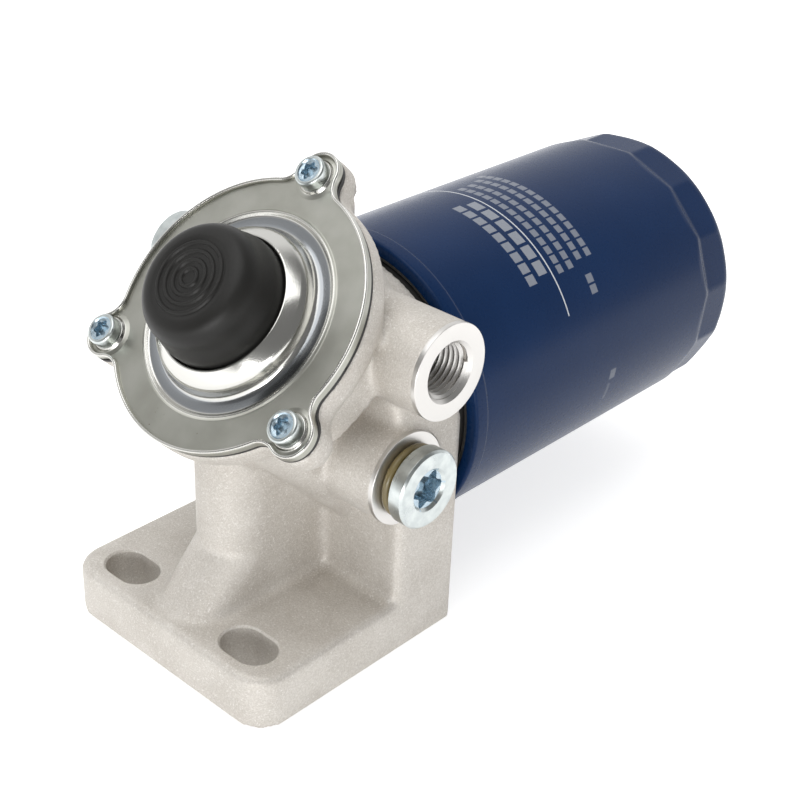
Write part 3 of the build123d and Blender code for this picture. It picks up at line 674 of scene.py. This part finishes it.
# Push button: moulded black plastic with a fine matt grain, a flared skirt, a domed shoulder
# and four finger rings on its crown. It is pressed onto the pump rod.
button_segments = 160
button_foot = [(14.3, 4.0, 0.3), (16.7, 4.0, 0.6)]
button_side = [(16.7, 8.5, 90), (15.9, 12.2, 104), (15.3, 15.6, 107), (13.4, 18.5, 145), (10.34, 19.38, 176)]
button_inside = [(0, 17.0), (10.0, 17.0), (12.9, 15.6), (14.3, 8.5)]
crown_height = 19.12
ring_height = 0.5
ring_radii = (8.8, 6.6, 4.4, 2.2)
ring_foot = 0.6
ring_crest = 0.25


def black_plastic():
    """Matt black moulding with a fine spark-eroded grain."""
    look = Look("black_plastic", (0.013, 0.0125, 0.012), ior=1.45, specular_ior_level=0.30)
    point = look.place()
    grain = look.noise(point, 0.35 * mm, detail=3, rough=0.6)
    cloud = look.noise(point, 7 * mm)
    look.set("Base Color", look.mix(cloud, (0.011, 0.0105, 0.010), (0.017, 0.0165, 0.015)))
    look.set("Roughness", 0.36 + 0.12 * grain)
    look.bump(grain, 0.03 * mm)
    return look.material


def flowing(knots, steps=5):
    """Smooth curve through (radius, height, heading in degrees) knots, as (radius, height) points."""
    points = [knots[0][:2]]
    for (*start, leaving), (*end, arriving) in zip(knots, knots[1:]):
        start, end = Vector(start), Vector(end)
        reach = (end - start).length / 3
        after = start + reach * Vector((cos(radians(leaving)), sin(radians(leaving))))
        before = end - reach * Vector((cos(radians(arriving)), sin(radians(arriving))))
        points += [tuple(point) for point in interpolate_bezier(start, after, before, end, steps + 1)[1:]]
    return points


plastic = black_plastic()
crown = []
for radius in ring_radii:
    crown += [
        (radius + ring_foot, crown_height, 0.15), (radius + ring_crest, crown_height + ring_height, 0.2),
        (radius - ring_crest, crown_height + ring_height, 0.2), (radius - ring_foot, crown_height, 0.15),
    ]
profile = rounded(button_foot + flowing(button_side) + crown + [(0, crown_height)] + button_inside)
button = turned("push_button", profile, button_segments, primer_place)
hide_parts("primer_button")
finish_piece(button, plastic, body="primer", angle=40)

# Return spring and diaphragm under the cover. In the pump the coiled wire shortens under the
# button and the rubber's rolled fold unrolls between its clamped rim and the plates that move;
# here the spring is a copy of its solid, and the rubber is cut into sectors, its rim drawn in.
diaphragm_sectors = 8
rim_scale = 0.98


def plain_steel():
    """Plain steel with a light oil film."""
    look = Look("plain_steel", (0.46, 0.45, 0.43), metallic=1.0)
    point = look.place()
    cloud = look.noise(point, 6 * mm, detail=3)
    scratch = look.noise(look.place(stretch=(1, 10, 10)), 0.5 * mm)
    look.set("Base Color", look.mix(cloud, (0.36, 0.35, 0.33), (0.54, 0.53, 0.51)))
    look.set("Roughness", 0.25 + 0.2 * scratch)
    look.bump(scratch, 0.01 * mm)
    return look.material


def black_rubber():
    """Dull black rubber with a moulded bloom."""
    look = Look("black_rubber", (0.016, 0.016, 0.016), ior=1.5)
    point = look.place()
    bloom = look.noise(point, 2.5 * mm, detail=4)
    look.set("Base Color", look.mix(bloom, (0.012, 0.012, 0.012), (0.030, 0.029, 0.028)))
    look.set("Roughness", 0.48 + 0.2 * bloom)
    look.bump(look.noise(point, 0.25 * mm), 0.02 * mm)
    return look.material


steel = plain_steel()
rubber = black_rubber()
spring = copy_node("return_spring", "coiled_return_spring")
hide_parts("return_spring")
finish_piece(spring, steel)
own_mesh(spring)
half_sector = pi / diaphragm_sectors
for sector in range(diaphragm_sectors):
    middle = tau * (sector + 0.5) / diaphragm_sectors
    wedge = copy_node("primer_diaphragm", f"diaphragm_sector_{sector + 1}")
    bpy.ops.object.mode_set(mode="EDIT")
    for turn in (-half_sector, half_sector):
        bpy.ops.mesh.select_all(action="SELECT")
        across = Vector((-sin(middle + turn), cos(middle + turn), 0)) * (1 if turn > 0 else -1)
        bpy.ops.mesh.bisect(
            plane_co=primer_place.translation, plane_no=primer_place.to_3x3() @ across,
            use_fill=True, clear_outer=True,
        )
    bpy.ops.object.mode_set(mode="OBJECT")
    for corner in wedge.data.vertices:
        spot = primer_place.inverted() @ corner.co
        if hypot(spot.x, spot.y) > flange_inner:
            corner.co = primer_place @ Vector((spot.x * rim_scale, spot.y * rim_scale, spot.z))
    wedge.data.materials.clear()
    wedge.data.materials.append(rubber)
    if sector == 0:
        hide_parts("primer_diaphragm")
    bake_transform(wedge)

# Port plugs: turned steel, bright zinc plated, with a six-lobed socket. Each squeezes a
# rubber sealing ring, olive with assembly grease, against the face of its boss.
plug_profile = [
    (0, -8.8), (6.9, -8.8), (6.9, 2.3), (8.3, 2.3), (8.3, 3.1), (9.9, 3.1), (10.2, 3.4, 0.1),
    (10.2, 6.8, 0.15), (9.6, 7.4, 0.15), (5.7, 7.4, 0.2), (4.95, 6.6), (0, 6.6),
]
plug_socket = 4.25 * mm
plug_socket_wave = 0.17
plug_socket_bottom = 2.8 * mm
plug_socket_top = 8.0 * mm
drill_point = [(0, 1.5), (3.3, 2.85), (3.3, 3.0), (0, 3.0)]
drill_segments = 48
plug_dish = 5.75 * mm
plug_dish_bottom = 1.4 * mm
plug_dish_top = 6.9 * mm
plug_edge = 0.15 * mm
seal_radius = 8.5 * mm
seal_section = 1.1 * mm
seal_steps = 24


def olive_seal():
    """Oily olive-brown rubber ring."""
    look = Look("olive_seal", (0.15, 0.115, 0.045), ior=1.5, coat_weight=0.4, coat_roughness=0.2)
    point = look.place()
    cloud = look.noise(point, 3 * mm, detail=3)
    look.set("Base Color", look.mix(cloud, (0.10, 0.075, 0.028), (0.22, 0.17, 0.065)))
    look.set("Roughness", 0.30 + 0.15 * cloud)
    return look.material


seal_rubber = olive_seal()
round_section = []
for step in range(seal_steps + 1):
    turn = tau * step / seal_steps
    round_section.append((seal_radius + seal_section * cos(turn), seal_section * (1 + sin(turn))))
for name, port, side in (("near", lower_port, -1), ("far", upper_port, 1)):
    place = port_matrix(port, side)
    plug = turned(name + "_plug", rounded(plug_profile, steps=3), port_segments, place)
    sink_socket(plug, plug_socket, plug_socket_wave, plug_socket_bottom, plug_socket_top, place)
    cut(plug, turned("drill_point", rounded(drill_point), drill_segments, place))
    ease_edges(plug, plug_edge)
    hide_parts(name + "_port_plug")
    finish_piece(plug, plating)
    # The socket gets painted shade.
    paint_socket_shade(plug, plug_dish, plug_dish_bottom, plug_dish_top, place)
    seal = turned(name + "_sealing_ring", round_section, port_segments, place)
    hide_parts(name + "_plug_seal")
    finish_piece(seal, seal_rubber)

# Spin-on can: deep-drawn steel, rolled over its lid at the open end, with fifteen wrench
# flats pressed in near the dished end, painted glossy navy blue with a little white print.
can_place = frame_matrix(Vector((58.0, 0, 57.0)) * mm, (0, 1, 0), (1, 0, 0))
can_radius = 40.0 * mm
can_skin = 38.2 * mm
can_segments = 360
flat_start = 103.5 * mm
flat_ramp = 3.6 * mm
flat_depth = 1.3 * mm
flat_softness = 0.45 * mm
flat_clear = 0.05 * mm
flat_count = 15
flat_turn = radians(16.5)
# Each row of print: first and last turn in degrees, start and end along the can in
# millimetres, pitch of its blocks in degrees, and strength.
print_rows = [
    (50, 154, 42.5, 42.95, 500, 0.9), (93, 138.5, 33.0, 36.1, 5.1, 0.36),
    (94, 137, 37.9, 41.3, 7.2, 0.40), (80, 138, 45.1, 47.3, 4.2, 0.30),
    (80, 138, 49.3, 51.5, 4.2, 0.30), (78, 136.5, 53.8, 56.0, 4.2, 0.30),
    (74, 136.8, 58.0, 60.2, 4.2, 0.30), (142.5, 151, 54.0, 56.6, 4.4, 0.30),
    (-175.5, -171, 59.5, 62.0, 20, 0.25), (-169, -161, 59.6, 60.8, 20, 0.12),
]
print_block = 0.8


def blue_paint():
    """Navy enamel, with the white print reduced to a line and rows of plain blocks."""
    look = Look("blue_paint", (0.004, 0.018, 0.075), ior=1.45, specular_ior_level=0.15)
    point = look.place(can_place.translation, can_place.to_euler())
    x, y, along = look.axes(point)
    turn = look.math("ARCTAN2", y, x) * (180 / pi)
    ink = 0.0
    for first, last, low, high, pitch, strength in print_rows:
        share = look.math("FRACT", (turn - first) / pitch)
        inside = (turn > first) * (turn < last) * (along > low * mm) * (along < high * mm)
        ink = ink + inside * (share < print_block) * strength
    peel = look.noise(point, 1.6 * mm, detail=2)
    cloud = look.noise(point, 20 * mm, detail=2)
    paint = look.mix(cloud, (0.003, 0.018, 0.066), (0.005, 0.026, 0.090))
    look.set("Base Color", look.mix(ink, paint, (0.62, 0.64, 0.66)))
    look.set("Roughness", 0.24 + 0.08 * peel)
    look.bump(peel, 0.003 * mm)
    return look.material


row_start = 102.0
row_pitch = 0.5
row_count = 24
seam_corners = [
    (36.9, 3.1), (36.9, 2.0, 0.3), (40.35, 2.0, 0.9), (40.35, 6.1, 0.5), (40.0, 6.8, 0.4), (40.0, 101.5),
]
flat_rows = [(40.0, row_start + row_pitch * row) for row in range(row_count)]
end_corners = [(40.0, 114.0), (40.0, 121.0, 6.9), (27.2, 121.0, 1.4), (24.6, 118.8, 1.4), (0, 118.8)]
back_corners = [(0, 118.2), (33.0, 118.2), (38.0, 113.5), (38.0, 105.5), (39.4, 102.0), (39.4, 3.1)]
profile = rounded(seam_corners + flat_rows + end_corners + back_corners, steps=10)
can = turned("painted_can", profile + profile[:1], can_segments)
for corner in can.data.vertices:
    radius = hypot(corner.co.x, corner.co.y)
    rise = min(max((corner.co.z - flat_start) / flat_ramp, 0), 1)
    if rise > 0 and radius > can_skin:
        turn = (atan2(corner.co.y, corner.co.x) - flat_turn + pi / flat_count) % (tau / flat_count)
        eased = rise * rise * (3 - 2 * rise)
        apothem = can_radius + flat_clear - (flat_depth + flat_clear) * eased
        flat = apothem / cos(turn - pi / flat_count)
        blend = max(flat_softness - abs(radius - flat), 0) / flat_softness
        limited = min(radius, flat) - blend * blend * flat_softness / 4
        corner.co.x *= limited / radius
        corner.co.y *= limited / radius
can.data.transform(can_place)
paint = blue_paint()
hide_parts("can_shell")
finish_piece(can, paint, angle=40)

# Everything inside the can and the pump, and the gasket between can and head: these keep
# their solids and take the finish of their own stuff.


def valve_brass():
    """Turned brass."""
    look = Look("valve_brass", (0.62, 0.44, 0.20), metallic=1.0)
    cloud = look.noise(look.place(), 1.5 * mm)
    look.set("Roughness", 0.25 + 0.2 * cloud)
    return look.material


def filter_paper():
    """Resin-treated paper with visible fibres."""
    look = Look("filter_paper", (0.72, 0.60, 0.36), roughness=0.85)
    point = look.place(stretch=(6, 1, 1))
    fibre = look.noise(point, 0.4 * mm, detail=4)
    look.set("Base Color", look.mix(fibre, (0.60, 0.48, 0.27), (0.80, 0.69, 0.44)))
    look.bump(fibre, 0.05 * mm)
    return look.material


brass = valve_brass()
paper = filter_paper()
finishes = {
    "can_gasket": rubber, "element_grommet": rubber, "inlet_valve_umbrella": rubber,
    "outlet_valve_umbrella": rubber, "inlet_valve_seat": brass, "outlet_valve_seat": brass,
    "element_media": paper, "can_spigot": steel, "can_lid": steel, "tapping_plate": steel,
    "centre_tube": steel, "element_open_cap": steel, "element_closed_cap": steel,
    "support_spring": steel, "primer_rod": steel, "upper_clamp_plate": steel, "lower_clamp_plate": steel,
}
for name, material in finishes.items():
    for slot in nodes[name].material_slots:
        slot.material = material

# Floor, light and camera: a sheet of white paper, one soft lamp overhead and one in front, a
# white world that dims towards the camera's side, and the camera as it was fitted to the photo.
floor_size = 6.0
floor_drop = 0.2 * mm
floor_glow = 0.62
# Painted shade round the object: the floor's glow is weaker about this centre, rising from the first
# distance to the second.
shadow_centre = (0.05, 0, 0)
shadow_reach = 0.16
shadow_fade = 0.45
# The world's light, and what metal mirrors of it: the direction towards which it rises, where
# the rise starts and ends, and the strength at either end.
room_light = ((0.62, 0.56, 0.55), -0.8, 0.8, 0.50, 0.80)
room_mirrored = ((0.451, 0.621, -0.641), -0.38, 0.02, 0.22, 1.0)
# Each lamp: its place, the spot that it faces, its width and height, and its power in watts.
lamps = {
    "overhead_softbox": ((-0.15, 0.05, 0.75), (0.03, 0, 0.06), 0.7, 0.7, 3.0),
    "front_softbox": ((-0.55, -0.40, 0.08), (0.0, 0, 0.10), 0.4, 0.14, 1.8),
}
sensor = 36.0
lens = 67.33
near_clip = 0.01
camera_place = Vector((-190.2, -239.4, 245.4)) * mm
camera_turn = Vector((1.9610988, -0.82529477, 0.53021496))


def seen_rays(look):
    """1 for rays from the camera, and 1 for rays off metal or through glass."""
    camera = look.add("ShaderNodeLightPath", output="Is Camera Ray")
    glossy = look.add("ShaderNodeLightPath", output="Is Glossy Ray")
    through = look.add("ShaderNodeLightPath", output="Is Transmission Ray")
    return camera, look.math("MINIMUM", glossy + through, 1.0)


def pale_floor():
    """White paper that reads white to the camera, with a painted shade near the object where its glow is
    weaker, so that the object's shadow shows.
    """
    look = Look("pale_floor", (0.8, 0.8, 0.8), roughness=1.0, specular_ior_level=0.0)
    x, y = look.axes(look.place(shadow_centre))[:2]
    away = look.math("SQRT", x * x + y * y)
    camera, mirrored = seen_rays(look)
    # The glow is weaker near the object, a painted shade that lets the rendered shadow show.
    glow = (camera + mirrored) * (floor_glow + (1 - floor_glow) * away.soft(shadow_reach, shadow_fade))
    emission = look.add("ShaderNodeEmission", inputs={"Strength": glow})
    both = look.add("ShaderNodeAddShader", inputs={0: Wire(look, look.shader.outputs[0]), 1: emission})
    look.tree.links.new(both.socket, look.tree.nodes["Material Output"].inputs["Surface"])
    return look.material


def towards(sky, axis, low, high, dim, painted_glints):
    """Strength that rises from dim to bright towards one direction."""
    sight = sky.add("ShaderNodeTexCoord", output="Generated")
    pair = {0: sight, 1: axis}
    facing = sky.add("ShaderNodeVectorMath", {"operation": "DOT_PRODUCT"}, pair, output="Value")
    ends = {"Value": facing, "From Min": low, "From Max": high, "To Min": dim, "To Max": painted_glints}
    return sky.add("ShaderNodeMapRange", {"interpolation_type": "SMOOTHSTEP"}, ends)


bpy.ops.object.select_all(action="DESELECT")
bpy.ops.mesh.primitive_plane_add(size=floor_size, location=(0, 0, -floor_drop))
floor = bpy.context.object
floor.name = "floor"
floor.data.materials.append(pale_floor())

world = bpy.data.worlds.new("studio")
bpy.context.scene.world = world
world.use_nodes = True
background = world.node_tree.nodes["Background"]
background.inputs["Color"].default_value = (1, 1, 1, 1)
sky = Nodes(world.node_tree)
camera_ray, mirrored_ray = seen_rays(sky)
light = towards(sky, *room_light)
shown = towards(sky, *room_mirrored)
strength = light * (1 - mirrored_ray) + shown * mirrored_ray
strength = sky.math("MAXIMUM", strength, camera_ray)
sky.tree.links.new(strength.socket, background.inputs["Strength"])

for name, (position, target, width, height, power) in lamps.items():
    lamp = bpy.data.lights.new(name, "AREA")
    lamp.shape = "RECTANGLE"
    lamp.size = width
    lamp.size_y = height
    lamp.energy = power
    holder = bpy.data.objects.new(name, lamp)
    holder.location = position
    holder.rotation_euler = (Vector(target) - Vector(position)).to_track_quat("-Z", "Y").to_euler()
    bpy.context.scene.collection.objects.link(holder)

aim = Matrix.Rotation(camera_turn.length, 3, camera_turn)
camera = bpy.data.objects.new("camera", bpy.data.cameras.new("camera"))
camera.data.sensor_width = sensor
camera.data.lens = lens
camera.data.clip_start = near_clip
camera.matrix_world = frame_matrix(camera_place, aim[0], -aim[2])
bpy.context.scene.collection.objects.link(camera)
bpy.context.scene.camera = camera
bpy.context.scene.view_settings.view_transform = "Standard"
